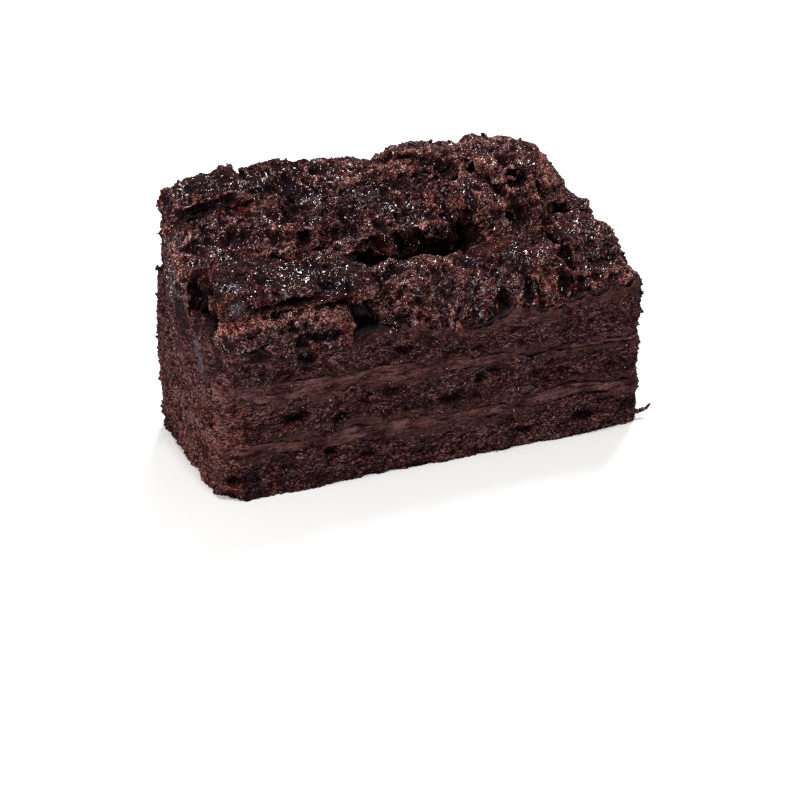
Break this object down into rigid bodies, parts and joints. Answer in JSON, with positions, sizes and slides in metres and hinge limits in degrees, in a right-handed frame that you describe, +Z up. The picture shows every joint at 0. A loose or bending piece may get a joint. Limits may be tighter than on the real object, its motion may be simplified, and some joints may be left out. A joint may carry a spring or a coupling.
{
  "type": "chocolate cake slice",
  "caption": "Rectangular slice of dark chocolate layer cake with fudge fillings at its cut sides and a rugged crown of glazed torn cake chunks.",
  "frame": {"origin": "middle of the underside, at the bottom centre of the bounding box", "axes": "+X along the slice's long side to the right as seen from its front, +Y from the front cut face to the back, +Z up"},
  "size_m": [0.1048, 0.0478, 0.0622],
  "materials": {
    "cake_crumb": "matte open dark chocolate crumb, stands in for baked cake",
    "fudge": "smooth soft chocolate fudge with a low sheen",
    "glaze": "wet dark chocolate glaze"
  },
  "bodies": {
    "root": {"cake_layer_bottom": "cake_crumb", "fudge_filling_lower": "fudge", "cake_layer_middle": "cake_crumb", "fudge_filling_upper": "fudge", "cake_layer_top": "cake_crumb", "glaze_bed": "glaze", "chunk_front_left_lower": "cake_crumb", "chunk_front_left_upper": "cake_crumb", "chunk_front_middle": "cake_crumb", "chunk_front_right_shiny": "cake_crumb", "chunk_front_right_ridge": "cake_crumb", "chunk_front_right_lobe": "cake_crumb", "chunk_right_front_low": "cake_crumb", "chunk_right_end": "cake_crumb", "chunk_middle_slab": "cake_crumb", "chunk_left_middle": "cake_crumb", "chunk_back_left": "cake_crumb", "chunk_back_middle_left": "cake_crumb", "chunk_back_middle_right": "cake_crumb", "chunk_wall_left": "cake_crumb", "chunk_wall_right": "cake_crumb", "chunk_right_back_small": "cake_crumb", "chunk_back_right_of_middle": "cake_crumb", "chunk_back_right_tall": "cake_crumb"}
  },
  "joints": []
}
